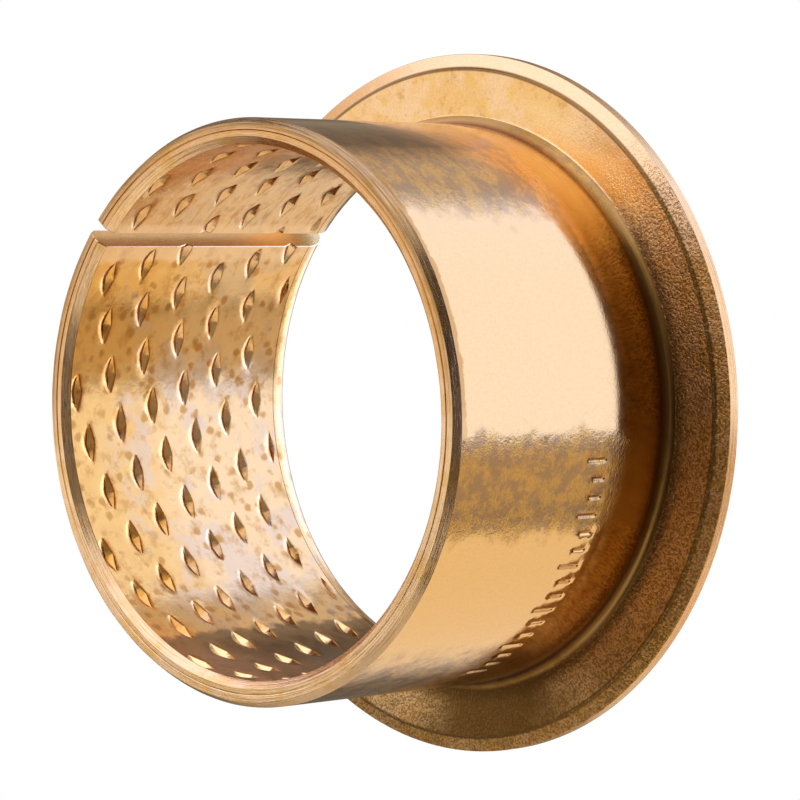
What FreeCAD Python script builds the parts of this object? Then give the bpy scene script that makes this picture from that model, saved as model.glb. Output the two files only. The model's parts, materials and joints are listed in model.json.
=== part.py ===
import FreeCAD, Part

import math
import os

import Sketcher

# Flanged wrapped bushing: one strip of bronze, rolled into a sleeve with an open butt seam
# and flanged outwards at one end. The bore face carries rows of diamond-shaped grease pockets.
#
# Frame: +Z is the bore axis, from the flange to the free end of the sleeve. The origin is the
# centre of the flange's thrust face, so the bushing stands on that face. +X points at the seam.

NODE = "flanged_bush"
VOLUME_TOLERANCE_MM3 = 1.0

# Driving dimensions, in millimetres and degrees.
DIMENSIONS = [
    ("bore_diameter", 40.0),
    ("sleeve_diameter", 44.0),
    ("flange_diameter", 55.0),
    ("overall_length", 25.0),
    ("flange_thickness", 1.85),
    ("bend_radius", 2.5),
    ("root_radius", 0.8),
    ("thrust_edge_break", 0.45),
    ("rim_band_width", 1.05),
    ("rim_band_start", 1.68),
    ("rim_band_end", 1.41),
    ("rim_step_width", 0.12),
    ("outer_chamfer_width", 0.35),
    ("outer_chamfer_length", 0.58),
    ("inner_chamfer", 0.53),
    ("seam_gap", 1.3),
    ("pocket_length", 3.0),
    ("pocket_width", 1.1),
    ("pocket_depth", 0.45),
    ("pocket_rows", 20.0),
    ("pocket_row_pitch", 1.145),
    ("pocket_first_row", 3.38),
    ("pocket_angle_pitch", 38.0),
    ("pocket_row_turn", 11.37),
    ("pocket_first_angle", 14.1),
]


def make_sheet(doc):
    """The spreadsheet of driving dimensions, one alias per row."""
    sheet = doc.addObject("Spreadsheet::Sheet", "dimensions")
    for row, (alias, value) in enumerate(DIMENSIONS, start=1):
        sheet.set(f"A{row}", alias)
        sheet.set(f"B{row}", str(value))
        sheet.setAlias(f"B{row}", alias)
    doc.recompute()
    return sheet


def origin_plane(body, role):
    """The body's own origin plane with that role, such as XY_Plane."""
    return next(f for f in body.Origin.OriginFeatures if f.Role == role)


def new_sketch(body, name, role):
    sketch = body.newObject("Sketcher::SketchObject", name)
    sketch.AttachmentSupport = [(origin_plane(body, role), "")]
    sketch.MapMode = "FlatFace"
    return sketch


def bind(sketch, kind, alias_expression, *references):
    """Adds a dimensional constraint whose value is an expression of the sheet's cells."""
    value = evaluate(sketch.Document, alias_expression)
    index = sketch.addConstraint(Sketcher.Constraint(kind, *references, value))
    sketch.setExpression(f"Constraints[{index}]", with_sheet(alias_expression))


def with_sheet(text):
    """Puts the sheet's name in front of every alias in an expression."""
    for alias in sorted((name for name, _ in DIMENSIONS), key=len, reverse=True):
        text = text.replace(f"<{alias}>", f"dimensions.{alias}")
    return text


def evaluate(doc, text):
    """The number that an expression of the sheet's cells comes to."""
    return float(doc.dimensions.evalExpression(with_sheet(text)))


# Outline of the section, in the plane through the axis: (radius, height) of each corner, as
# expressions of the sheet's cells, going outwards along the thrust face, over the flange's
# rim, up the sleeve, across the free end and down the bore. The last item says how the edge
# to the next corner is made: "line", or the alias of an arc's radius.
BORE = "<bore_diameter> / 2"
SLEEVE = "<sleeve_diameter> / 2"
RIM = "<flange_diameter> / 2"
SECTION = [
    (f"{BORE} + <bend_radius>", "0", "line"),
    (f"{RIM} - <thrust_edge_break>", "0", "line"),
    (RIM, "<thrust_edge_break>", "line"),
    (RIM, "<rim_band_end>", "line"),
    (f"{RIM} - <rim_band_width>", "<rim_band_start>", "line"),
    (f"{RIM} - <rim_band_width> - <rim_step_width>", "<flange_thickness>", "line"),
    (f"{SLEEVE} + <root_radius>", "<flange_thickness>", "<root_radius>"),
    (SLEEVE, "<flange_thickness> + <root_radius>", "line"),
    (SLEEVE, "<overall_length> - <outer_chamfer_length>", "line"),
    (f"{SLEEVE} - <outer_chamfer_width>", "<overall_length>", "line"),
    (f"{BORE} + <inner_chamfer>", "<overall_length>", "line"),
    (BORE, "<overall_length> - <inner_chamfer>", "line"),
    (BORE, "<bend_radius>", "<bend_radius>"),
]


def quarter_arc(start, end, radius):
    """The lower left quarter of a circle, which both of the section's arcs are. A sketch's arcs
    run anticlockwise, so it goes from its higher end, on the left, to its lower end."""
    centre = FreeCAD.Vector(max(start.x, end.x), max(start.y, end.y), 0)
    circle = Part.Circle(centre, FreeCAD.Vector(0, 0, 1), radius)
    return Part.ArcOfCircle(circle, math.pi, 1.5 * math.pi)


def draw_section(sketch):
    """The closed outline of SECTION, every corner held by its radius and height."""
    doc = sketch.Document
    corners = [
        FreeCAD.Vector(evaluate(doc, radius), evaluate(doc, height), 0)
        for radius, height, _ in SECTION
    ]
    for index, (_, _, edge) in enumerate(SECTION):
        start, end = corners[index], corners[(index + 1) % len(corners)]
        if edge == "line":
            sketch.addGeometry(Part.LineSegment(start, end))
        else:
            sketch.addGeometry(quarter_arc(start, end, evaluate(doc, edge)))
    axis, origin_point = -1, 1
    for index, (radius, height, edge) in enumerate(SECTION):
        start_point, end_point = edge_ends(sketch, index, corners[index])
        following = (index + 1) % len(SECTION)
        next_start, _ = edge_ends(sketch, following, corners[following])
        sketch.addConstraint(
            Sketcher.Constraint("Coincident", index, end_point, following, next_start)
        )
        bind(sketch, "DistanceX", radius, axis, origin_point, index, start_point)
        if height == "0":
            sketch.addConstraint(Sketcher.Constraint("PointOnObject", index, start_point, axis))
        else:
            bind(sketch, "DistanceY", height, axis, origin_point, index, start_point)
        if edge != "line":
            bind(sketch, "Radius", edge, index)


def edge_ends(sketch, index, start):
    """(point number at the edge's start, point number at its end); arcs may run backwards."""
    edge = sketch.Geometry[index]
    forwards = edge.StartPoint.distanceToPoint(start) < edge.EndPoint.distanceToPoint(start)
    return (1, 2) if forwards else (2, 1)


def draw_seam(sketch):
    """A rectangle from the axis to past the rim, as wide as the seam is open."""
    doc = sketch.Document
    reach = evaluate(doc, RIM) * 1.2
    half = evaluate(doc, "<seam_gap>") / 2
    corners = [(0, -half), (reach, -half), (reach, half), (0, half)]
    points = [FreeCAD.Vector(x, y, 0) for x, y in corners]
    for index, start in enumerate(points):
        sketch.addGeometry(Part.LineSegment(start, points[(index + 1) % 4]))
    for index in range(4):
        sketch.addConstraint(Sketcher.Constraint("Coincident", index, 2, (index + 1) % 4, 1))
    for side in (0, 2):
        sketch.addConstraint(Sketcher.Constraint("Horizontal", side))
    for side in (1, 3):
        sketch.addConstraint(Sketcher.Constraint("Vertical", side))
    sketch.addConstraint(Sketcher.Constraint("Symmetric", 0, 1, 3, 1, -1, 1))
    bind(sketch, "DistanceY", "<seam_gap>", 0, 1, 3, 1)
    bind(sketch, "DistanceX", f"{RIM} * 1.2", 0, 1, 0, 2)


def make_blank(doc):
    """The rolled and flanged strip without its pockets: a revolved section, slit at the seam."""
    body = doc.addObject("PartDesign::Body", "bush_blank")

    section = new_sketch(body, "section", "XZ_Plane")
    draw_section(section)
    ring = body.newObject("PartDesign::Revolution", "ring")
    ring.Profile = section
    ring.ReferenceAxis = (section, ["V_Axis"])
    ring.Angle = 360
    doc.recompute()
    ring_volume = ring.Shape.Volume

    slit = new_sketch(body, "seam_outline", "XY_Plane")
    draw_seam(slit)
    seam = body.newObject("PartDesign::Pocket", "seam")
    seam.Profile = slit
    seam.Type = "Length"
    seam.setExpression("Length", "dimensions.overall_length")
    seam.Reversed = True
    doc.recompute()
    if ring_volume - seam.Shape.Volume < VOLUME_TOLERANCE_MM3:
        raise RuntimeError("the seam cut nothing")
    return body


def pocket_punch(sheet):
    """One grease pocket as a solid: a pyramid on a diamond, long way round the bore, with its
    point outwards. It stands on the +X side of the bore, at height 0."""
    bore = sheet.bore_diameter / 2
    half_length = sheet.pocket_length / 2
    half_width = sheet.pocket_width / 2
    tip_radius = math.sqrt(bore**2 - half_length**2)
    point = bore + sheet.pocket_depth
    base = bore - 2 * (bore - tip_radius)
    length_at_base = half_length * (point - base) / (point - tip_radius)
    width_at_base = half_width * (point - base) / sheet.pocket_depth
    diamond = [
        FreeCAD.Vector(base, length_at_base, 0),
        FreeCAD.Vector(base, 0, width_at_base),
        FreeCAD.Vector(base, -length_at_base, 0),
        FreeCAD.Vector(base, 0, -width_at_base),
    ]
    apex = FreeCAD.Vector(point, 0, 0)
    faces = [Part.Face(Part.makePolygon(diamond + diamond[:1]))]
    for index, corner in enumerate(diamond):
        triangle = [corner, diamond[(index + 1) % 4], apex, corner]
        faces.append(Part.Face(Part.makePolygon(triangle)))
    solid = Part.Solid(Part.Shell(faces))
    if solid.Volume < 0:
        solid.reverse()
    return solid


def pocket_places(sheet):
    """(height, angle) of every pocket. Each row lies one pitch above the row before and is
    turned back by a fixed angle, so the pockets stand in slanting lines along the strip."""
    seam_half_angle = math.degrees(math.asin(sheet.seam_gap / sheet.bore_diameter))
    places = []
    for row in range(int(sheet.pocket_rows)):
        height = sheet.pocket_first_row + row * sheet.pocket_row_pitch
        angle = (sheet.pocket_first_angle - row * sheet.pocket_row_turn) % sheet.pocket_angle_pitch
        while angle < 360:
            if seam_half_angle < angle < 360 - seam_half_angle:
                places.append((height, angle))
            angle += sheet.pocket_angle_pitch
    return places


def make_pockets(doc, sheet):
    """All grease pockets, as one compound that the blank is cut with."""
    punch = pocket_punch(sheet)
    punches = []
    for height, angle in pocket_places(sheet):
        tool = punch.copy()
        turn = FreeCAD.Rotation(FreeCAD.Vector(0, 0, 1), angle)
        tool.Placement = FreeCAD.Placement(FreeCAD.Vector(0, 0, height), turn)
        punches.append(tool)
    pockets = doc.addObject("Part::Feature", "grease_pockets")
    pockets.Shape = Part.makeCompound(punches)
    return pockets


def make_bush(doc, blank, pockets):
    """The finished bushing: the blank with its grease pockets."""
    bush = doc.addObject("Part::Cut", NODE)
    bush.Label = NODE
    bush.Base = blank
    bush.Tool = pockets
    doc.recompute()
    if blank.Shape.Volume - bush.Shape.Volume < VOLUME_TOLERANCE_MM3:
        raise RuntimeError("the grease pockets cut nothing")
    return bush


def check(doc, part):
    """Stops unless every object recomputed and the part is one valid solid."""
    for item in doc.Objects:
        if "Invalid" in item.State or "Error" in item.State:
            raise RuntimeError(f"{item.Name} failed: {item.State}")
    shape = part.Shape
    if shape.isNull() or not shape.isValid() or len(shape.Solids) != 1:
        raise RuntimeError(f"{part.Label} is not one valid solid")


def main():
    os.makedirs("parts", exist_ok=True)
    doc = FreeCAD.newDocument("flanged_bushing")
    sheet = make_sheet(doc)
    blank = make_blank(doc)
    pockets = make_pockets(doc, sheet)
    bush = make_bush(doc, blank, pockets)
    check(doc, bush)
    bush.Shape.exportStep(f"parts/{bush.Label}.step")
    box = bush.Shape.BoundBox
    print(f"{bush.Label}: {bush.Shape.Volume:.0f} mm3, {len(bush.Shape.Faces)} faces")
    print(f"box {box.XLength:.2f} x {box.YLength:.2f} x {box.ZLength:.2f} mm from z={box.ZMin:.2f}")


main()
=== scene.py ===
import json
import math

import bmesh
import bpy
import numpy as np
from mathutils import Matrix, Vector, geometry


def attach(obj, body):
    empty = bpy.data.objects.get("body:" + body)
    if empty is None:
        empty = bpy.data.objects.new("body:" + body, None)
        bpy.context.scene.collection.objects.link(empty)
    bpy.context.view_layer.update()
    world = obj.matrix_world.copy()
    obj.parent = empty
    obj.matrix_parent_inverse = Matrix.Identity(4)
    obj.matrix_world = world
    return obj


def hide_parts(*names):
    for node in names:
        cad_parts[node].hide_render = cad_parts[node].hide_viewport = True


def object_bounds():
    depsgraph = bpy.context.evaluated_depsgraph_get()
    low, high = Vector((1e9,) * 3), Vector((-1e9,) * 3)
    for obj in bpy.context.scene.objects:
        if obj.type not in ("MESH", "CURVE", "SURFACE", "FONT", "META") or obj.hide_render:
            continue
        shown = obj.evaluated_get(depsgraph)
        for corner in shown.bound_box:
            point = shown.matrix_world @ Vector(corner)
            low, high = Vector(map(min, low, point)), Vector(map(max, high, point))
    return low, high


# Visual model of a flanged wrapped bushing: a strip of tin bronze rolled into a sleeve, with
# an open butt seam on the +X side, a flange at the bottom and diamond grease pockets in the
# bore. Lengths in the mesh code are millimetres and angles are measured from +X; the mesh is
# scaled to metres at the end.

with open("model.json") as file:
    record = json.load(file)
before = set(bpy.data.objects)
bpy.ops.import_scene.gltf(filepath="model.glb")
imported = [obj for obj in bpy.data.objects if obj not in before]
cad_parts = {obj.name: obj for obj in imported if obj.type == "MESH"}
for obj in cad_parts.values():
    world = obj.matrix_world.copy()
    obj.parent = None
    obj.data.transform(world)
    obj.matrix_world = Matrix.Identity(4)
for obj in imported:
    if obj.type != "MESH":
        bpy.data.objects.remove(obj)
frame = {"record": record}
cad_low, cad_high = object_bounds()

MM = 0.001
NODE = "flanged_bush"
MOUNTS = {mount["name"]: mount for mount in frame["record"]["mounts"]}

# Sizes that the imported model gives.
BORE = MOUNTS["bore"]["dims"]["r_mm"]
SLEEVE = MOUNTS["sleeve_outside"]["dims"]["r_mm"]
RIM = cad_high.y / MM
LENGTH = cad_high.z / MM
FLANGE = MOUNTS["flange_back_face"]["pos_m"][2] / MM

# Sizes of the finer shapes, as on the CAD part.
INNER_CHAMFER = 0.53
OUTER_CHAMFER_WIDTH = 0.35
OUTER_CHAMFER_LENGTH = 0.58
BEND_RADIUS = 2.5
ROOT_RADIUS = 0.8
EDGE_BREAK = 0.45
BAND_WIDTH = 1.05
BAND_INSIDE = 1.68
BAND_OUTSIDE = 1.41
BAND_STEP = 0.12
SEAM_HALF_GAP = 0.65
SEAM_EDGE = 0.06

# The grease pockets. The shift lowers each pit, because its wide shoulder lies above it.
POCKET_HALF_LENGTH = 1.5
POCKET_HALF_WIDTH = 0.42
POCKET_DEPTH = 0.36
POCKET_SHOULDERS = (0.62, 0.08)
POCKET_OVERHANG = 0.15
POCKET_SLOPE = 0.28
POCKET_SHIFT = 0.20
POCKET_ROWS = 20
POCKET_ROW_PITCH = 1.145
POCKET_FIRST_ROW = 3.38
POCKET_PITCH_ANGLE = 38.0
POCKET_ROW_TURN = 11.37
POCKET_FIRST_ANGLE = 14.1
POCKET_WORN_SCALE = 0.5

# A row of plain punched strokes on the sleeve.
MARK_HEIGHT = 9.65
MARK_FIRST_ANGLE = 156.0
MARK_PITCH_ANGLE = 3.7
MARK_COUNT = 16
MARK_HALF_LENGTHS = (0.9, 0.5, 0.5)
MARK_HALF_WIDTH = 0.24
MARK_DEPTH = 0.10
MARK_LOW = 7.6
MARK_HIGH = 11.7

# A fine turned line on the end face.
LINE_RADIUS = 21.02
LINE_HALF_WIDTH = 0.07
LINE_DEPTH = 0.035

# How far the edges of the chamfers wander, the waves that they follow, each as (waves in a
# turn, size), and how near to a chamfer the rings of the mesh move with it.
INNER_WANDER = 0.045
OUTER_WANDER = 0.06
WANDER_WAVES = ((3, 0.22), (7, 0.22), (16, 0.1375), (37, 0.1))
CHAMFER_REACH = 0.10
INNER_REACH_DOWN = 0.04

# Mesh density, and how far the mesh of a dented patch keeps from its border and its dents.
COLUMNS = 360
ARC_STEP = math.radians(12)
RUN_STEP = 1.0
SUPPORT = 0.06
PATCH_STEP = 0.55
PATCH_ROW = 0.87 * PATCH_STEP
SIDE_STEP = 0.25
CLEAR_OF_BORDER = 0.12
CLEAR_OF_SIDES = 0.25
CLEAR_OF_DENTS = 0.20
MARK_CLEARANCE_ANGLE = 3

# Edges that bend by more than this angle are shaded sharp. Points of a patch that lie within
# the merge distance become one, and a divisor is at least TINY.
SHARP_ANGLE = 20
MERGE_DISTANCE = 1e-7
TINY = 1e-6

# The stretch of the bore that holds the pockets.
POCKETS_FROM = BEND_RADIUS + 0.05
POCKETS_TO = LENGTH - INNER_CHAMFER - 0.08


# ---------------------------------------------------------------- section of the strip

def section_corners():
    """Corners of the section as (radius, height, rounding, zone of the surface after it).
    They go from the top of the bore over the free end, down the sleeve, out along the
    flange, round its rim and back under it to the bottom of the bore."""
    step = RIM - BAND_WIDTH - BAND_STEP
    return [
        (BORE, LENGTH - INNER_CHAMFER, 0.05, "inner_chamfer"),
        (BORE + INNER_CHAMFER, LENGTH, 0.06, "end_face"),
        (LINE_RADIUS - LINE_HALF_WIDTH, LENGTH, 0.02, "end_face"),
        (LINE_RADIUS, LENGTH - LINE_DEPTH, 0.02, "end_face"),
        (LINE_RADIUS + LINE_HALF_WIDTH, LENGTH, 0.02, "end_face"),
        (SLEEVE - OUTER_CHAMFER_WIDTH, LENGTH, 0.06, "outer_chamfer"),
        (SLEEVE, LENGTH - OUTER_CHAMFER_LENGTH, 0.12, "sleeve"),
        (SLEEVE, FLANGE, ROOT_RADIUS, "flange_back"),
        (step, FLANGE, 0.05, "flange_back"),
        (RIM - BAND_WIDTH, BAND_INSIDE, 0.05, "rim_band"),
        (RIM, BAND_OUTSIDE, 0.12, "rim"),
        (RIM, EDGE_BREAK, 0.12, "rim"),
        (RIM - EDGE_BREAK, 0, 0.12, "thrust_face"),
        (BORE, 0, BEND_RADIUS, "bore"),
    ]


def arc_points(before, corner, after, rounding):
    """Points on the arc that rounds a corner."""
    into = (corner - before).normalized()
    out = (after - corner).normalized()
    turn = into.angle(out)
    reach = rounding * math.tan(turn / 2)
    start = corner - into * reach
    side = 1 if into.x * out.y - into.y * out.x > 0 else -1
    centre = start + Vector((-into.y, into.x)) * rounding * side
    count = max(2, math.ceil(turn / ARC_STEP))
    spoke = start - centre
    points = []
    for index in range(count + 1):
        angle = side * turn * index / count
        cosine, sine = math.cos(angle), math.sin(angle)
        turned = Vector((spoke.x * cosine - spoke.y * sine, spoke.x * sine + spoke.y * cosine))
        points.append(centre + turned)
    return points


def run_points(start, end):
    """Points between the ends of a straight run: one close to each end, which keeps the
    shading of the run flat, and the rest evenly spaced."""
    length = (end - start).length
    if length < 4 * SUPPORT:
        return []
    count = max(1, round(length / RUN_STEP))
    shares = [SUPPORT / length] + [k / count for k in range(1, count)] + [1 - SUPPORT / length]
    return [start.lerp(end, share) for share in shares]


def section_path():
    """(points, zones): the section from the top of the bore's pocketed stretch round to its
    bottom, with the zone of the strip of surface after each point."""
    corners = section_corners()
    ends = [Vector((BORE, POCKETS_TO))]
    ends += [Vector((radius, height)) for radius, height, _, _ in corners]
    ends += [Vector((BORE, POCKETS_FROM))]
    points, zones = [ends[0]], []
    zone = "bore"
    for index, (_, _, rounding, next_zone) in enumerate(corners):
        arc = arc_points(ends[index], ends[index + 1], ends[index + 2], rounding)
        for point in run_points(points[-1], arc[0]) + arc:
            zones.append(zone)
            points.append(point)
        zone = next_zone
    zones.append(zone)
    points.append(ends[-1])
    return points, zones


def wander(angles, start):
    """How far a worn edge has moved at each angle, from 0 to 1."""
    waves = sum(size * np.sin(count * (angles + start)) for count, size in WANDER_WAVES)
    return np.clip(0.5 + waves, 0, 1)


def worn_ring(point, angles):
    """(radii, heights) of the ring of points at a point of the section. The edges of the two
    chamfers wander, and the surfaces beside them follow."""
    radii = np.full(COLUMNS, point.x)
    heights = np.full(COLUMNS, point.y)
    below = LENGTH - point.y
    inner = point.x < BORE + INNER_CHAMFER + CHAMFER_REACH
    if inner and below < INNER_CHAMFER + INNER_REACH_DOWN:
        down = np.clip(below / INNER_CHAMFER, 0, 1)
        moved = INNER_WANDER * wander(angles, 1.0)
        radii += moved * (1 - down)
        heights -= moved * down
    outer = point.x > SLEEVE - OUTER_CHAMFER_WIDTH - CHAMFER_REACH
    if outer and below < OUTER_CHAMFER_LENGTH + CHAMFER_REACH:
        down = np.clip(below / OUTER_CHAMFER_LENGTH, 0, 1)
        moved = OUTER_WANDER * wander(angles, 2.0)
        radii -= moved * (1 - down)
        heights -= moved * down
    return radii, heights


def column_angles(radius):
    """Angles of the columns of the mesh at a radius, from one side of the seam to the other.
    The seam's sides are parallel, so they take a smaller angle further out."""
    edge = math.asin((SEAM_HALF_GAP + SEAM_EDGE) / radius)
    return np.linspace(edge, 2 * math.pi - edge, COLUMNS)


# ---------------------------------------------------------------- dents in rolled-out surfaces

class Pockets:
    """Diamond grease pockets in a surface that is rolled out flat: s runs round it, t along
    the axis. Each is a pyramid pressed down inside a shallow, leaf-shaped hollow, whose sides
    are the shoulders. The first shoulder is the one on the side of greater t."""

    REACH = POCKET_HALF_LENGTH + POCKET_OVERHANG

    def __init__(self, radius):
        """Each row lies one pitch above the row before and is turned back by a fixed angle.
        The row nearest the flange is worn shallow. The places are (s, t, scale)."""
        self.places = []
        for row in range(POCKET_ROWS):
            height = POCKET_FIRST_ROW + row * POCKET_ROW_PITCH - POCKET_SHIFT
            angle = (POCKET_FIRST_ANGLE - row * POCKET_ROW_TURN) % POCKET_PITCH_ANGLE
            scale = POCKET_WORN_SCALE if row == 0 else 1.0
            while angle < 360:
                self.places.append((math.radians(angle) * radius, height, scale))
                angle += POCKET_PITCH_ANGLE

    @staticmethod
    def diamond(along):
        """Half width of the pyramid at a distance along the pocket from its middle."""
        return POCKET_HALF_WIDTH * np.clip(1 - np.abs(along) / POCKET_HALF_LENGTH, 0, 1)

    def leaf(self, along, shoulder):
        """Half width of the hollow, on the side with this shoulder."""
        outwards = np.clip(np.abs(along) / self.REACH, 0, 1)
        curve = (POCKET_HALF_WIDTH + shoulder) * (1 - outwards**2)
        return np.maximum(curve, self.diamond(along))

    def depth_at(self, s, t):
        """How far the pockets sink the surface at each point."""
        total = np.zeros(len(s))
        for centre_s, centre_t, scale in self.places:
            near = np.abs(s - centre_s) < self.REACH
            near &= np.abs(t - centre_t) < POCKET_HALF_WIDTH + max(POCKET_SHOULDERS)
            if not near.any():
                continue
            along = s[near] - centre_s
            across = t[near] - centre_t
            diamond = self.diamond(along)
            above, below = (self.leaf(along, shoulder) for shoulder in POCKET_SHOULDERS)
            high, low = POCKET_SLOPE * (above - diamond), POCKET_SLOPE * (below - diamond)
            place = across / np.maximum(diamond, TINY)
            inside = low + (high - low) * np.clip((place + 1) / 2, 0, 1)
            leaf = np.where(across > 0, above, below)
            hollow = np.minimum(POCKET_SLOPE * np.maximum(leaf - np.abs(across), 0), inside)
            pit = np.clip(1 - np.abs(place), 0, 1) * diamond / POCKET_HALF_WIDTH
            total[near] += scale * (hollow + POCKET_DEPTH * pit)
        return total

    def outlines(self):
        """Lines of points that the mesh follows at every pocket."""
        steps = np.linspace(-1, 1, 17)
        for centre_s, centre_t, _ in self.places:
            for side, shoulder in zip((1, -1), POCKET_SHOULDERS):
                along = steps * POCKET_HALF_LENGTH
                yield [(centre_s + u, centre_t + side * self.diamond(u)) for u in along]
                for out in (0.5, 1.0):
                    wide = steps[1:-1] * self.REACH
                    inner, outer = self.diamond(wide), self.leaf(wide, shoulder)
                    across = inner + (outer - inner) * out
                    yield [(centre_s + u, centre_t + side * v) for u, v in zip(wide, across)]
            yield [(centre_s + u * POCKET_HALF_LENGTH, centre_t) for u in (-1, -0.5, 0, 0.5, 1)]
            yield [(centre_s, centre_t + v * POCKET_HALF_WIDTH) for v in (-1, 0, 1)]

    def clear_of(self, s, t, margin):
        """True where a point lies outside every pocket by at least the margin."""
        clear = np.ones(len(s), bool)
        for centre_s, centre_t, _ in self.places:
            along = s - centre_s
            across = t - centre_t
            inside = across < self.leaf(along, POCKET_SHOULDERS[0]) + margin
            inside &= across > -self.leaf(along, POCKET_SHOULDERS[1]) - margin
            clear &= ~(inside & (np.abs(along) < self.REACH + margin))
        return clear


class Strokes:
    """Straight grooves with round ends, pressed into a surface that is rolled out flat. They
    run along the axis, and their feet are in line."""

    def __init__(self, radius):
        self.places = []
        for index in range(MARK_COUNT):
            angle = math.radians(MARK_FIRST_ANGLE + index * MARK_PITCH_ANGLE)
            half_length = MARK_HALF_LENGTHS[index % len(MARK_HALF_LENGTHS)]
            height = MARK_HEIGHT - MARK_HALF_LENGTHS[0] + half_length
            self.places.append((angle * radius, height, half_length))

    def distances(self, s, t):
        """Distance from each point to the middle line of the nearest groove."""
        nearest = np.full(len(s), np.inf)
        for centre_s, centre_t, half_length in self.places:
            beyond = np.maximum(np.abs(t - centre_t) - half_length, 0)
            nearest = np.minimum(nearest, np.hypot(s - centre_s, beyond))
        return nearest

    def depth_at(self, s, t):
        """How far the grooves sink the surface at each point."""
        outwards = np.clip(self.distances(s, t) / MARK_HALF_WIDTH, 0, 1)
        return MARK_DEPTH * (1 - outwards**2) ** 2

    def outlines(self):
        """Lines of points that the mesh follows at every groove."""
        for centre_s, centre_t, half_length in self.places:
            steps = np.linspace(-half_length, half_length, 5)
            yield [(centre_s, centre_t + v) for v in steps]
            for out in (0.3, 0.6, 0.8, 1.0):
                reach = out * MARK_HALF_WIDTH
                line = [(centre_s - reach, centre_t + v) for v in steps]
                for end, first in ((1, math.pi), (-1, 0)):
                    bend = [first - k * math.pi / 6 for k in range(1, 6)]
                    line += [(centre_s + reach * math.cos(a),
                              centre_t + end * half_length + reach * math.sin(a)) for a in bend]
                    if end == 1:
                        line += [(centre_s + reach, centre_t + v) for v in steps[::-1]]
                yield line + line[:1]

    def clear_of(self, s, t, margin):
        """True where a point lies outside every groove by at least the margin."""
        return self.distances(s, t) > MARK_HALF_WIDTH + margin


def rectangle(angles, heights, radius):
    """Rolled-out points round a rectangle, in order: along its bottom, up its far side, back
    along its top and down its near side. heights go from the bottom to the top."""
    bottom, *sides, top = heights
    points = [(angle * radius, bottom) for angle in angles]
    points += [(angles[-1] * radius, t) for t in sides]
    points += [(angle * radius, top) for angle in angles[::-1]]
    points += [(angles[0] * radius, t) for t in sides[::-1]]
    return points


def patch_triangles(boundary, dents):
    """Fills a rolled-out rectangle with triangles that follow its dents. boundary holds the
    points round it, in order. Returns the points inside it and the triangles, whose indices
    count the boundary first."""
    low, high = np.min(boundary, axis=0), np.max(boundary, axis=0)
    start, end = low + CLEAR_OF_BORDER, high - CLEAR_OF_BORDER
    coords = list(boundary)
    edges = [(k, (k + 1) % len(boundary)) for k in range(len(boundary))]

    known = {}
    for line in dents.outlines():
        previous = None
        for s, t in line:
            if not (start[0] < s < end[0] and start[1] < t < end[1]):
                previous = None
                continue
            key = (round(s, 4), round(t, 4))
            if key not in known:
                known[key] = len(coords)
                coords.append((s, t))
            if previous is not None and previous != known[key]:
                edges.append((previous, known[key]))
            previous = known[key]

    rows = int((high[1] - low[1]) / PATCH_ROW)
    columns = int((high[0] - low[0]) / PATCH_STEP)
    for row in range(1, rows):
        t = low[1] + (high[1] - low[1]) * row / rows
        s = low[0] + (high[0] - low[0]) * (np.arange(columns) + 0.5 * (row % 2)) / columns
        keep = dents.clear_of(s, np.full(len(s), t), CLEAR_OF_DENTS)
        keep &= (s > low[0] + CLEAR_OF_SIDES) & (s < high[0] - CLEAR_OF_SIDES)
        coords.extend((float(place), float(t)) for place in s[keep])

    result = geometry.delaunay_2d_cdt([Vector(c) for c in coords], edges, [], 0, MERGE_DISTANCE)
    out_coords, _, faces, sources = result[:4]
    mapping = []
    extra = []
    for index, origin in enumerate(sources):
        if origin:
            mapping.append(origin[0])
        else:
            mapping.append(len(coords) + len(extra))
            extra.append(tuple(out_coords[index]))
    triangles = [tuple(mapping[k] for k in face) for face in faces]
    return coords[len(boundary):] + extra, triangles


# ---------------------------------------------------------------- mesh of the bushing

class MeshParts:
    """Vertices, faces and the zone of each face."""

    def __init__(self):
        self.points = []
        self.faces = []
        self.zones = []

    def add_points(self, points):
        first = len(self.points)
        self.points.extend(tuple(p) for p in points)
        return list(range(first, len(self.points)))

    def add_face(self, corners, zone):
        self.faces.append(corners)
        self.zones.append(zone)


def on_cylinder(radius, angle, height):
    return np.stack([radius * np.cos(angle), radius * np.sin(angle), height], axis=-1)


def fill_patch(parts, boundary, border, dents, radius, way, zone):
    """Fills a stretch of a cylinder and its dents. boundary holds the rolled-out points round
    it, and border their vertices. The dents go outwards where way is 1, inwards where it is
    -1."""
    inner, triangles = patch_triangles(boundary, dents)
    s, t = np.array(inner).T
    depth = way * dents.depth_at(s, t)
    vertices = border + parts.add_points(on_cylinder(radius + depth, s / radius, t))
    for triangle in triangles:
        parts.add_face(tuple(vertices[k] for k in triangle)[::-way], zone)


def build_bush():
    path, zones = section_path()
    parts = MeshParts()
    pockets = Pockets(BORE)
    rings = []
    for index, point in enumerate(path):
        angles = column_angles(point.x)
        radii, heights = worn_ring(point, angles)
        if index in (0, len(path) - 1):
            radii += pockets.depth_at(angles * BORE, heights)
        rings.append(parts.add_points(on_cylinder(radii, angles, heights)))

    # A strip takes the zone of the strip after it, so the last strip, 0.05 mm high at the
    # bottom of the bore, gets no faces.
    block = marked_block(path, zones)
    first, last, left, right = block
    for index, zone in enumerate(zones[1:]):
        ring, following = rings[index], rings[index + 1]
        for j in range(COLUMNS - 1):
            if not (first <= index < last and left <= j < right):
                parts.add_face((ring[j], following[j], following[j + 1], ring[j + 1]), zone)

    add_marks(parts, path, rings, block)
    start_side, end_side = add_pockets(parts, rings, pockets)
    close_seam(parts, [ring[0] for ring in rings] + start_side, 1)
    close_seam(parts, [ring[-1] for ring in rings] + end_side, -1)
    return parts


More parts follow.
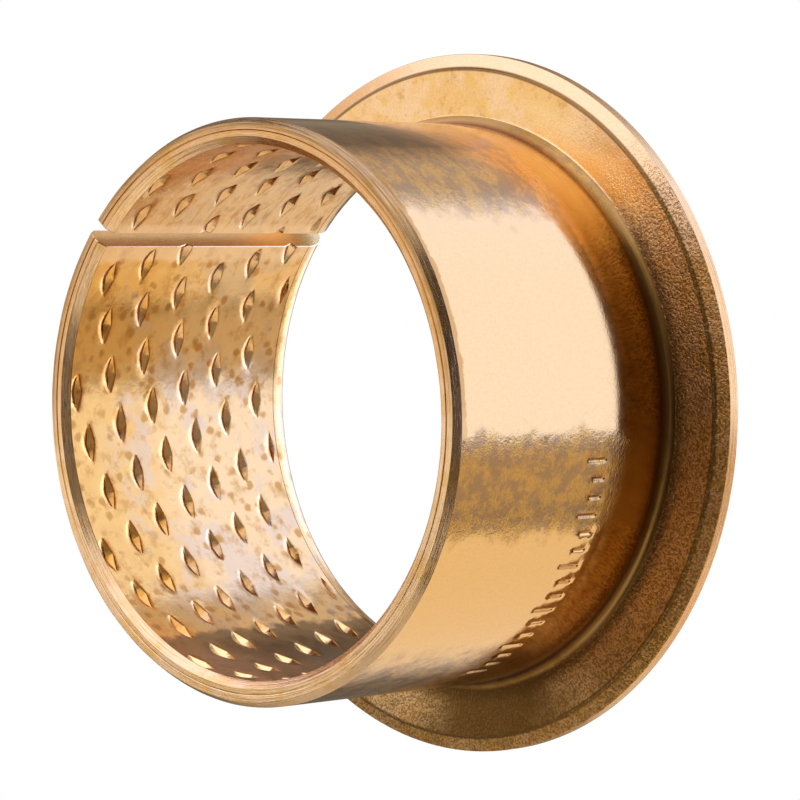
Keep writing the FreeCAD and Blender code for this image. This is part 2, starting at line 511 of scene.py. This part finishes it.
def marked_block(path, zones):
    """(first ring, last ring, first column, last column) of the stretch of the sleeve that
    holds the punched strokes."""
    sleeve = [k for k, zone in enumerate(zones[1:]) if zone == "sleeve"]
    first = max(k for k in sleeve if path[k].y > MARK_HIGH)
    last = min(k for k in sleeve if path[k].y < MARK_LOW)
    angles = np.degrees(column_angles(SLEEVE))
    start = MARK_FIRST_ANGLE - MARK_CLEARANCE_ANGLE
    end = MARK_FIRST_ANGLE + (MARK_COUNT - 1) * MARK_PITCH_ANGLE + MARK_CLEARANCE_ANGLE
    return first, last, int(np.searchsorted(angles, start)), int(np.searchsorted(angles, end))


def add_marks(parts, path, rings, block):
    """Fills the marked stretch of the sleeve."""
    first, last, left, right = block
    angles = column_angles(SLEEVE)[left:right + 1]
    heights = [path[k].y for k in range(last, first - 1, -1)]
    border = rings[last][left:right + 1]
    border += [rings[k][right] for k in range(last - 1, first, -1)]
    border += rings[first][left:right + 1][::-1]
    border += [rings[k][left] for k in range(first + 1, last)]
    boundary = rectangle(angles, heights, SLEEVE)
    fill_patch(parts, boundary, border, Strokes(SLEEVE), SLEEVE, -1, "sleeve")


def add_pockets(parts, rings, pockets):
    """Fills the pocketed stretch of the bore. Returns the vertices up its two cut sides,
    without their ends."""
    angles = column_angles(BORE)
    count = round((POCKETS_TO - POCKETS_FROM) / SIDE_STEP) + 1
    heights = np.linspace(POCKETS_FROM, POCKETS_TO, count)
    between = heights[1:-1]
    sides = []
    for angle in (angles[0], angles[-1]):
        depth = pockets.depth_at(np.full(len(between), angle * BORE), between)
        sides.append(parts.add_points(on_cylinder(BORE + depth, angle, between)))
    border = rings[-1] + sides[1] + rings[0][::-1] + sides[0][::-1]
    fill_patch(parts, rectangle(angles, heights, BORE), border, pockets, BORE, 1, "bore")
    return sides


def close_seam(parts, loop, side):
    """Closes one cut end of the strip: a narrow broken edge round it, then its flat face."""
    points = np.array([parts.points[k] for k in loop])
    outline = np.stack([np.hypot(points[:, 0], points[:, 1]), points[:, 2]], axis=-1)
    along = np.roll(outline, -1, axis=0) - np.roll(outline, 1, axis=0)
    along /= np.linalg.norm(along, axis=1)[:, None]
    inset = outline + SEAM_EDGE * np.stack([along[:, 1], -along[:, 0]], axis=-1)
    y = side * SEAM_HALF_GAP
    x = np.sqrt(inset[:, 0] ** 2 - y**2)
    flat = parts.add_points(np.stack([x, np.full(len(x), y), inset[:, 1]], axis=-1))
    count = len(loop)
    for k in range(count):
        following = (k + 1) % count
        parts.add_face((loop[k], loop[following], flat[following], flat[k]), "seam")
    polygon = [Vector((p[0], p[1], 0)) for p in inset]
    for a, b, c in geometry.tessellate_polygon([polygon]):
        parts.add_face((flat[a], flat[b], flat[c]), "seam")


def make_object(parts, materials, zone_material):
    mesh = bpy.data.meshes.new("bronze_bush")
    points = [(x * MM, y * MM, z * MM) for x, y, z in parts.points]
    mesh.from_pydata(points, [], parts.faces)
    for material in materials.values():
        mesh.materials.append(material)
    order = {name: index for index, name in enumerate(materials)}
    mesh.polygons.foreach_set("material_index", [order[zone_material[z]] for z in parts.zones])
    work = bmesh.new()
    work.from_mesh(mesh)
    bmesh.ops.recalc_face_normals(work, faces=work.faces)
    work.to_mesh(mesh)
    work.free()
    mesh.shade_smooth()
    mesh.set_sharp_from_angle(angle=math.radians(SHARP_ANGLE))
    bush = bpy.data.objects.new("bronze_bush", mesh)
    bpy.context.scene.collection.objects.link(bush)
    return bush


# ---------------------------------------------------------------- materials

class Nodes:
    """Short calls for building a node tree. A value is a number, a colour or a socket."""

    def __init__(self, tree):
        self.tree = tree
        tree.nodes.clear()

    def add(self, kind, **inputs):
        node = self.tree.nodes.new(kind)
        for name, value in inputs.items():
            self.set(node.inputs[name.replace("_", " ")], value)
        return node

    def set(self, socket, value):
        if isinstance(value, bpy.types.NodeSocket):
            self.tree.links.new(value, socket)
        else:
            socket.default_value = value

    def operate(self, kind, operation, values):
        node = self.tree.nodes.new(kind)
        node.operation = operation
        for socket, value in zip(node.inputs, values):
            self.set(socket, value)
        return node.outputs[0]

    def math(self, operation, *values):
        return self.operate("ShaderNodeMath", operation, values)

    def vector(self, operation, *values):
        return self.operate("ShaderNodeVectorMath", operation, values)

    def plus(self, first, second):
        return self.math("ADD", first, second)

    def times(self, first, *others):
        """The product of all the values."""
        for value in others:
            first = self.math("MULTIPLY", first, value)
        return first

    def outside(self, mask):
        return self.math("SUBTRACT", 1.0, mask)

    def shifted(self, value, other, reach):
        """A value plus reach times another. Where the other is a noise, an edge set by the
        value isn't straight."""
        return self.plus(value, self.times(other, reach))

    def ramp(self, value, start, end, low=0.0, high=1.0):
        """A smooth step from low at start to high at end."""
        node = self.tree.nodes.new("ShaderNodeMapRange")
        node.interpolation_type = "SMOOTHSTEP"
        for socket, number in zip(node.inputs, (value, start, end, low, high)):
            self.set(socket, number)
        return node.outputs[0]

    def band(self, value, start, end, soft):
        """1 between two values and 0 outside them, with soft edges."""
        return self.times(self.ramp(value, start - soft, start + soft),
                          self.ramp(value, end + soft, end - soft))

    def mix(self, factor, first, second, blend="MIX"):
        node = self.tree.nodes.new("ShaderNodeMix")
        node.data_type = "RGBA"
        node.blend_type = blend
        self.set(node.inputs["Factor"], factor)
        sockets = [s for s in node.inputs if s.type == "RGBA"]
        self.set(sockets[0], first)
        self.set(sockets[1], second)
        return next(s for s in node.outputs if s.type == "RGBA")

    def noise(self, vector, scale, detail=2.0, roughness=0.5, distortion=0.0):
        node = self.add("ShaderNodeTexNoise", Vector=vector, Scale=scale, Detail=detail,
                        Roughness=roughness, Distortion=distortion)
        return node.outputs["Fac"]


def colour(red, green, blue):
    return (red, green, blue, 1.0)


GOLD = colour(0.80, 0.45, 0.165)
PALE = colour(0.85, 0.53, 0.28)
LILAC = colour(0.62, 0.40, 0.22)
AMBER = colour(0.76, 0.37, 0.085)
BROWN = colour(0.50, 0.20, 0.035)
PURPLE = colour(0.34, 0.18, 0.11)
PLUM = colour(0.42, 0.24, 0.15)
HONEY = colour(0.74, 0.40, 0.04)
UMBER = colour(0.54, 0.25, 0.035)
OLIVE = colour(0.52, 0.31, 0.06)
DARK = colour(0.16, 0.07, 0.012)
PAINTED_SHADE_BROWN = colour(0.14, 0.052, 0.0)
CREAM = colour(0.95, 0.66, 0.30)


# Sectors of the bushing, each as (from, to, softness) in degrees round it, where 0 is opposite
# the seam.
TOP_STAIN = (83, 116, 4)
LOWER_STAIN = (18, 37, 2)
UNDER_STAIN = (-80, -16, 7)
DEEP_ROOT = (36, 80, 9)
BROWN_LIP = (38, 92, 8)
BROWN_RIM = (-10, 74, 12)
# SHADED_BORE and SHADED_FLANGE are sectors of painted shade, and BRIGHT_FLANGE one of a painted
# highlight.
SHADED_BORE = (-76, -20, 1.2)
SHADED_FLANGE = (-56, -24, 9)
BRIGHT_FLANGE = (74, 108, 8)


def new_material(name):
    material = bpy.data.materials.new(name)
    material.use_nodes = True
    return material, Nodes(material.node_tree)


class Bronze:
    """A bronze, laid on in coats. Its sockets tell the place on the bushing in millimetres,
    the radius there, and the turn in radians and degrees, which is 0 opposite the seam, so
    that it jumps only at the seam."""

    def __init__(self, name, base):
        self.material, self.nodes = new_material(name)
        self.base = base
        nodes = self.nodes
        in_metres = nodes.add("ShaderNodeTexCoord").outputs["Object"]
        self.place = nodes.vector("MULTIPLY", in_metres, (1 / MM, 1 / MM, 1 / MM))
        self.x, self.y, self.height = nodes.add("ShaderNodeSeparateXYZ", Vector=self.place).outputs
        squared = nodes.plus(nodes.times(self.x, self.x), nodes.times(self.y, self.y))
        self.radius = nodes.math("SQRT", squared)
        away_x, away_y = nodes.times(self.x, -1.0), nodes.times(self.y, -1.0)
        self.turn = nodes.math("ARCTAN2", away_y, away_x)
        self.degrees = nodes.times(self.turn, 180 / math.pi)

    def lay(self, shade, *amounts):
        """A coat of one colour, as strong as the product of the amounts."""
        self.base = self.nodes.mix(self.nodes.times(*amounts), self.base, shade)

    def patches(self, scale, detail, roughness, start, end, distortion=0.0, place=None):
        """Cloudy patches: 0 where a noise is below start, and 1 where it is above end."""
        if place is None:
            place = self.place
        noise = self.nodes.noise(place, scale, detail, roughness, distortion)
        return self.nodes.ramp(noise, start, end)

    def stretched(self, across, around, along):
        """A place for drawn-out noise, whose axes run across, round and along the bushing."""
        nodes = self.nodes
        axes = nodes.add("ShaderNodeCombineXYZ", X=nodes.times(self.radius, across),
                         Y=nodes.times(self.turn, around), Z=nodes.times(self.height, along))
        return axes.outputs[0]

    def spots(self, place, scale, size, soft, amount):
        """Round spots, of which only some are kept."""
        node = self.nodes.add("ShaderNodeTexVoronoi", Vector=place, Scale=scale)
        near = self.nodes.ramp(node.outputs["Distance"], size + soft, size - soft)
        chance = self.nodes.add("ShaderNodeSeparateColor", Color=node.outputs["Color"]).outputs[0]
        return self.nodes.times(near, self.nodes.math("LESS_THAN", chance, amount))

    def finish(self, roughness, relief, bump_mm):
        nodes = self.nodes
        bump = nodes.add("ShaderNodeBump", Height=relief, Strength=1.0, Distance=bump_mm * MM)
        shader = nodes.add("ShaderNodeBsdfPrincipled", Base_Color=self.base, Metallic=1.0,
                           Roughness=roughness, Normal=bump.outputs["Normal"])
        output = nodes.add("ShaderNodeOutputMaterial")
        nodes.tree.links.new(shader.outputs["BSDF"], output.inputs["Surface"])
        return self.material


def bore_material():
    """Rolled bronze, spotted with brown and purple."""
    bronze = Bronze("bore_bronze", GOLD)
    nodes, place, radius, height = bronze.nodes, bronze.place, bronze.radius, bronze.height
    warp = nodes.noise(place, 0.8, 3)
    bronze.lay(AMBER, 0.95, nodes.ramp(nodes.shifted(height, warp, 6.0), 15, 22))
    bronze.lay(LILAC, 0.55, bronze.patches(0.22, 4, 0.6, 0.50, 0.60), nodes.ramp(height, 23, 17))
    bronze.lay(BROWN, 0.6, bronze.patches(0.7, 4, 0.65, 0.50, 0.70))

    # Spots, except in the depth of the pockets.
    drift = nodes.add("ShaderNodeTexNoise", Vector=place, Scale=1.4, Detail=2.0).outputs["Color"]
    wobbly = nodes.vector("ADD", place, nodes.vector("MULTIPLY", drift, (0.7, 0.7, 0.7)))
    rolled = nodes.ramp(radius, BORE + 0.9, BORE + 0.6)
    bronze.lay(BROWN, 0.85, rolled, bronze.spots(wobbly, 0.75, 0.28, 0.12, 0.6))
    bronze.lay(PURPLE, 0.75, rolled, bronze.spots(wobbly, 0.30, 0.13, 0.07, 0.35))

    # Painted shade in a dark sector of the bore, with painted cream highlights in its pockets.
    shaded = nodes.band(nodes.shifted(bronze.degrees, warp, 6.0), *SHADED_BORE)
    pocket = nodes.ramp(radius, BORE + 0.01, BORE + 0.05)
    bronze.lay(CREAM, 0.8, shaded, pocket)
    bronze.lay(DARK, 0.78, shaded, nodes.outside(pocket))

    # The far side of the bore, and the pale strip beside the seam.
    far_side = nodes.ramp(nodes.shifted(bronze.degrees, warp, 16.0), 112, 132)
    bronze.lay(LILAC, 0.45, far_side)
    mottle = bronze.patches(1.1, 5, 0.7, 0.47, 0.62, place=bronze.stretched(1, 9, 1.5))
    bronze.lay(BROWN, 0.5, mottle, far_side)
    beside_seam = nodes.band(nodes.plus(bronze.y, warp), -1.1, 2.6, 0.35)
    bronze.lay(PALE, 0.6, beside_seam, nodes.math("GREATER_THAN", bronze.x, 0.0))

    rough = nodes.ramp(warp, 0.3, 0.7, 0.15, 0.27)
    return bronze.finish(rough, nodes.noise(place, 2.6, 4, 0.6), 0.012)


def sleeve_material():
    """Polished bronze with stained sectors, and a honey-coloured ring over the flange."""
    bronze = Bronze("sleeve_bronze", GOLD)
    nodes, place, height = bronze.nodes, bronze.place, bronze.height
    drift = nodes.math("SUBTRACT", nodes.noise(place, 0.5, 4, 0.6), 0.5)
    wavy = nodes.shifted(bronze.degrees, drift, 14.0)
    bronze.lay(BROWN, 0.10, bronze.patches(4.5, 3, 0.7, 0.45, 0.62))

    # Stains, whose blotches are drawn out round the bushing in the top sector.
    top = nodes.band(wavy, *TOP_STAIN)
    under = nodes.band(wavy, *UNDER_STAIN)
    stained = nodes.math("MAXIMUM", top, nodes.band(wavy, *LOWER_STAIN))
    stained = nodes.math("MAXIMUM", stained, under)
    drawn = bronze.stretched(1, 13, 1)
    blotches = bronze.patches(0.8, 5, 0.75, 0.42, 0.58)
    drawn_blotches = bronze.patches(0.8, 5, 0.75, 0.42, 0.58, place=drawn)
    blotches = nodes.plus(nodes.times(top, drawn_blotches),
                          nodes.times(nodes.outside(top), blotches))
    bronze.lay(AMBER, 0.5, stained)
    bronze.lay(PLUM, 0.78, stained, blotches)
    bronze.lay(OLIVE, 0.5, stained, bronze.patches(5.0, 4, 0.7, 0.44, 0.58, place=drawn))
    # Darker between about 103 and 150 degrees round.
    darker_sector_edge = nodes.ramp(nodes.shifted(bronze.degrees, drift, 4.0), 102.5, 104.5)
    bronze.lay(DARK, 0.4, darker_sector_edge, nodes.ramp(wavy, 150, 125))
    bronze.lay(DARK, 0.8, under, bronze.patches(0.45, 5, 0.7, 0.40, 0.60))

    # The ring over the flange: honey above, umber on the front, with scratches round it.
    low_down = nodes.ramp(height, FLANGE + 5.4, FLANGE + 4.2)
    above_root = nodes.ramp(height, FLANGE + 0.7, FLANGE + 1.1)
    honey = nodes.mix(nodes.ramp(wavy, 116, 74), HONEY, UMBER)
    scratches = bronze.patches(1.0, 4, 0.65, 0.48, 0.62, place=bronze.stretched(1, 5, 12))
    bronze.lay(honey, 0.95, low_down, above_root)
    bronze.lay(DARK, 0.32, low_down, nodes.band(wavy, *DEEP_ROOT))
    bronze.lay(BROWN, 0.7, nodes.band(height, FLANGE + 0.95, FLANGE + 1.3, 0.15))
    bronze.lay(BROWN, 0.6, low_down, scratches)

    # The lip at the end face, and the root of the flange.
    lip = nodes.ramp(nodes.shifted(height, drift, 1.2), LENGTH - 1.15, LENGTH - 0.95)
    bronze.lay(BROWN, 0.75, lip, nodes.band(wavy, *BROWN_LIP))
    # Darker towards the root of the flange.
    root = nodes.ramp(height, FLANGE + 1.5, FLANGE + 0.7)
    root = nodes.times(root, nodes.ramp(wavy, 92, 62, 0.45, 0.82))
    bronze.lay(DARK, root)

    rough = nodes.ramp(nodes.noise(place, 0.6, 3), 0.3, 0.7, 0.055, 0.10)
    rough = nodes.plus(nodes.shifted(rough, stained, 0.04), nodes.times(root, 0.30))
    relief = nodes.times(nodes.noise(place, 5.5, 3, 0.6), nodes.shifted(0.35, stained, 1.9))
    return bronze.finish(rough, relief, 0.008)


def flange_material():
    """The back of the flange: coarse and brown on the front, smooth and pale above."""
    bronze = Bronze("flange_bronze", GOLD)
    nodes, place, radius = bronze.nodes, bronze.place, bronze.radius
    drift = nodes.math("SUBTRACT", nodes.noise(place, 0.35, 4, 0.6), 0.5)
    wavy = nodes.shifted(bronze.degrees, drift, 16.0)
    wavy_radius = nodes.plus(radius, drift)
    front = nodes.ramp(wavy, 75, 65)
    coarse = nodes.ramp(wavy, 92, 70)
    band_start = RIM - BAND_WIDTH
    on_band = nodes.ramp(radius, band_start - 0.05, band_start + 0.05)
    bronze.lay(PALE, 0.8, bronze.patches(0.30, 4, 0.6, 0.42, 0.58))
    bronze.lay(HONEY, 0.45, bronze.patches(0.42, 5, 0.65, 0.50, 0.66, distortion=0.4))
    bronze.lay(BROWN, 0.45, bronze.patches(0.9, 5, 0.7, 0.54, 0.70))

    # The front half, with a painted highlight: a gold streak between the root and the band at the
    # rim.
    bronze.lay(UMBER, 0.30, front)
    bronze.lay(DARK, 0.35, bronze.patches(0.5, 5, 0.7, 0.46, 0.62), front)
    bronze.lay(GOLD, 0.6, nodes.band(wavy_radius, 22.9, 25.0, 0.5), front)
    bronze.lay(BROWN, 0.4, on_band, front)

    # Painted shade in the dark sector below, a painted highlight on top, and the band round the
    # rim.
    shaded = nodes.times(nodes.band(wavy, *SHADED_FLANGE), nodes.outside(on_band))
    # Painted shade: dark brown over the lower sector of the flange.
    bronze.lay(PAINTED_SHADE_BROWN, 0.9, shaded)
    # Painted highlight: cream on top of the flange, near the sleeve.
    near_sleeve = nodes.ramp(wavy_radius, 25.8, 24.2)
    bronze.lay(CREAM, 0.75, nodes.band(wavy, *BRIGHT_FLANGE), near_sleeve)
    bronze.lay(PALE, 0.8, on_band, nodes.outside(front))
    bronze.lay(BROWN, on_band, nodes.ramp(wavy, 130, 165, 0.0, 0.6))
    # Painted shadow: a dark line along the step at the inside of the rim band.
    step = nodes.band(radius, band_start - BAND_STEP - 0.16, band_start + 0.06, 0.08)
    bronze.lay(DARK, 0.85, step)
    # Darker towards the root of the flange.
    root = nodes.ramp(radius, SLEEVE + 2.0, SLEEVE + 0.8)
    root = nodes.times(root, nodes.ramp(wavy, 92, 62, 0.0, 0.75))
    bronze.lay(DARK, root)

    # Grit, whose light grains are weaker in the dark sector.
    grain = nodes.noise(place, 5.2, 3, 0.6)
    gritty = nodes.shifted(0.08, coarse, 0.55)
    bronze.lay(DARK, gritty, nodes.ramp(grain, 0.54, 0.42))
    lit = nodes.ramp(shaded, 0.0, 1.0, 1.0, 0.2)
    bronze.lay(GOLD, gritty, nodes.ramp(grain, 0.56, 0.70), lit)

    rough = nodes.ramp(nodes.noise(place, 0.6, 3), 0.3, 0.7, 0.14, 0.22)
    rough = nodes.plus(nodes.shifted(rough, coarse, 0.14), nodes.times(root, 0.2))
    relief = nodes.times(grain, nodes.shifted(0.4, coarse, 2.4))
    return bronze.finish(rough, relief, 0.034)


def edge_material():
    """Turned bronze, for the end face, the chamfers, the rim and the sides of the seam."""
    bronze = Bronze("turned_bronze", PALE)
    nodes, radius, height = bronze.nodes, bronze.radius, bronze.height
    bronze.lay(GOLD, bronze.patches(0.4, 4, 0.6, 0.42, 0.70))
    far_side = nodes.math("MAXIMUM", nodes.ramp(bronze.degrees, 30, 60),
                          nodes.ramp(bronze.degrees, -120, -150))
    on_face = nodes.ramp(height, LENGTH - 0.05, LENGTH - 0.01)
    on_end = nodes.ramp(height, LENGTH - 1.2, LENGTH - 1.0)
    on_rim = nodes.ramp(radius, RIM - 0.6, RIM - 0.4)
    bronze.lay(BROWN, 0.40, far_side, on_face)
    bronze.lay(GOLD, 0.8, on_rim)
    bronze.lay(BROWN, 0.5, on_rim, nodes.band(bronze.degrees, *BROWN_RIM))

    # Marks of the lathe, and darker brown in the turned line and outside it.
    lines = nodes.noise(bronze.stretched(9, 3, 9), 1.0, 4, 0.65)
    bronze.lay(BROWN, nodes.ramp(lines, 0.54, 0.68, 0.0, 0.75))
    turned = nodes.band(radius, LINE_RADIUS - 0.09, LINE_RADIUS + 0.11, 0.04)
    bronze.lay(BROWN, turned, on_end, nodes.shifted(0.2, far_side, 0.6))
    beyond_line = nodes.ramp(radius, LINE_RADIUS, LINE_RADIUS + 0.5)
    dark_streaks = nodes.ramp(lines, 0.35, 0.60, 0.25, 0.65)
    bronze.lay(DARK, beyond_line, on_end, dark_streaks, far_side)

    # The flat sides of the seam, with a painted highlight that makes them paler towards the
    # flange.
    seam_side = SEAM_HALF_GAP + 0.01
    in_seam = nodes.band(bronze.y, -seam_side, seam_side, 0.01)
    shade = nodes.mix(nodes.ramp(height, 13, 3), AMBER, CREAM)
    bronze.lay(shade, 0.85, in_seam, nodes.math("GREATER_THAN", bronze.x, 0.0))

    rough = nodes.ramp(nodes.noise(bronze.place, 0.8, 3), 0.3, 0.7, 0.16, 0.27)
    return bronze.finish(rough, lines, 0.03)


# ---------------------------------------------------------------- studio

class Studio:
    """Soft studio light as cards round the bushing, painted on the world."""

    # name, azimuth from and to, softness of each edge, height from and to, softness, colour.
    CARDS = [
        ("key", -151, -47, 2.5, 9, -90, -12, 8, (1.24, 1.62, 2.90)),
        ("side", -44, -19, 10, 3, -90, -12, 8, (0.76, 0.78, 0.82)),
        ("low", -19, 20, 3, 18, -90, -14, 6, (0.25, 0.22, 0.18)),
        ("low_right", 14, 94, 18, 10, -90, -14, 8, (0.16, 0.13, 0.09)),
        ("fill", 92, 172, 16, 3, -90, -22, 6, (1.0, 1.0, 0.95)),
        ("gap", 176, 207, 3, 3, -90, -12, 8, (0.66, 0.62, 0.56)),
        ("over", -80, 54, 14, 9, -6, 74, 6, (1.12, 1.17, 1.20)),
        ("core", -60, 18, 20, 15, -2, 66, 6, (0.35, 0.45, 0.95)),
        ("over_left", -100, -78, 5, 10, 36, 46.5, 3, (0.80, 0.85, 0.90)),
        ("left", 84, 184, 14, 6, 19, 47, 2, (1.12, 1.12, 1.05)),
        ("left_low", 78, 158, 14, 12, -22, 18, 4, (0.52, 0.52, 0.48)),
        ("far", -178, -92, 10, 10, 4, 24, 6, (0.12, 0.10, 0.08)),
        ("behind", -178, -104, 6, 8, 40, 60, 4, (0.34, 0.34, 0.34)),
        ("right", 58, 112, 12, 12, 20, 62, 8, (0.09, 0.09, 0.08)),
        ("spark", 80, 100, 6, 6, 64, 71, 3, (2.2, 2.2, 2.1)),
        ("nadir", -180, 180, 0, 0, -90, -63, 5, (1.20, 1.50, 2.30)),
    ]
    AMBIENT = (0.04, 0.035, 0.03)
    SMALLEST_LEVEL = 1e-4

    def build(self):
        world = bpy.data.worlds.new("studio")
        bpy.context.scene.world = world
        world.use_nodes = True
        nodes = Nodes(world.node_tree)
        direction = nodes.add("ShaderNodeTexCoord").outputs["Generated"]
        x, y, z = nodes.add("ShaderNodeSeparateXYZ", Vector=direction).outputs
        level = nodes.math("SQRT", nodes.plus(nodes.times(x, x), nodes.times(y, y)))
        level = nodes.math("MAXIMUM", level, self.SMALLEST_LEVEL)
        east, north = nodes.math("DIVIDE", x, level), nodes.math("DIVIDE", y, level)
        height = nodes.math("ARCSINE", z)
        total = colour(*self.AMBIENT)
        for _, start, end, soft_start, soft_end, low, high, soft_level, shade in self.CARDS:
            limits = (math.radians(angle) for angle in (low, high, soft_level))
            mask = nodes.band(height, *limits)
            if end - start < 360:
                after_start = self.past(nodes, east, north, start, soft_start, 1)
                before_end = self.past(nodes, east, north, end, soft_end, -1)
                mask = nodes.times(mask, after_start, before_end)
            total = nodes.mix(mask, total, colour(*shade), blend="ADD")
        background = nodes.add("ShaderNodeBackground", Color=total, Strength=1.0)
        output = nodes.add("ShaderNodeOutputWorld")
        nodes.tree.links.new(background.outputs[0], output.inputs["Surface"])

    @staticmethod
    def past(nodes, east, north, azimuth, soft, way):
        """A soft step across a bearing: 1 on the anticlockwise side of it, or on the other
        side when way is -1."""
        angle = math.radians(azimuth)
        across = nodes.plus(nodes.times(east, -way * math.sin(angle)),
                            nodes.times(north, way * math.cos(angle)))
        edge = math.sin(math.radians(soft / 2))
        return nodes.ramp(across, -edge, edge)


# The stage, in metres. The floor lies a little below the thrust face.
FLOOR_SIZE = 6
FLOOR_DROP = 0.00002
DOME_RADIUS = 3


def white_stage():
    """A white floor and dome that light and reflections pass through."""
    material, nodes = new_material("stage_white")
    glow = nodes.add("ShaderNodeEmission", Color=colour(1, 1, 1), Strength=1.0)
    output = nodes.add("ShaderNodeOutputMaterial")
    nodes.tree.links.new(glow.outputs[0], output.inputs["Surface"])
    bpy.ops.mesh.primitive_plane_add(size=FLOOR_SIZE, location=(0, 0, cad_low.z - FLOOR_DROP))
    floor = bpy.context.object
    floor.name = "floor"
    bpy.ops.mesh.primitive_uv_sphere_add(radius=DOME_RADIUS, segments=64, ring_count=32)
    dome = bpy.context.object
    dome.name = "backdrop"
    for item in (floor, dome):
        item.data.materials.append(material)
        item.visible_glossy = False
        item.visible_diffuse = False
        item.visible_shadow = False
        item.visible_transmission = False


# Camera: where it looks, how far away it is, its bearing and roll in degrees, and the depth
# that it sees, in metres.
AIM_MM = (-1.295, -1.879, 10.329)
CAMERA_DISTANCE_MM = 286.86
CAMERA_FROM_AXIS = 44.245
CAMERA_AZIMUTH = -136.458
CAMERA_ROLL = -92.463
LENS_MM = 168.03
CAMERA_DEPTH = (0.01, 20)


def place_camera():
    polar, azimuth = math.radians(CAMERA_FROM_AXIS), math.radians(CAMERA_AZIMUTH)
    back = Vector((math.sin(polar) * math.cos(azimuth), math.sin(polar) * math.sin(azimuth),
                   math.cos(polar)))
    right = Vector((0, 0, 1)).cross(back).normalized()
    upright = Matrix((right, back.cross(right), back)).transposed()
    rolled = upright @ Matrix.Rotation(math.radians(CAMERA_ROLL), 3, "Z")
    data = bpy.data.cameras.new("camera")
    data.lens = LENS_MM
    data.clip_start, data.clip_end = CAMERA_DEPTH
    camera = bpy.data.objects.new("camera", data)
    bpy.context.scene.collection.objects.link(camera)
    place = (Vector(AIM_MM) + back * CAMERA_DISTANCE_MM) * MM
    camera.matrix_world = Matrix.Translation(place) @ rolled.to_4x4()
    bpy.context.scene.camera = camera


# ---------------------------------------------------------------- the scene

def main():
    materials = {
        "bore": bore_material(),
        "sleeve": sleeve_material(),
        "flange": flange_material(),
        "edge": edge_material(),
    }
    zone_material = {
        "bore": "bore",
        "sleeve": "sleeve",
        "flange_back": "flange",
        "rim_band": "flange",
        "thrust_face": "bore",
        "inner_chamfer": "edge",
        "end_face": "edge",
        "outer_chamfer": "edge",
        "rim": "edge",
        "seam": "edge",
    }
    bush = make_object(build_bush(), materials, zone_material)
    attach(bush, "root")
    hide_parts(NODE)
    Studio().build()
    white_stage()
    place_camera()
    bpy.context.scene.view_settings.view_transform = "Standard"


main()
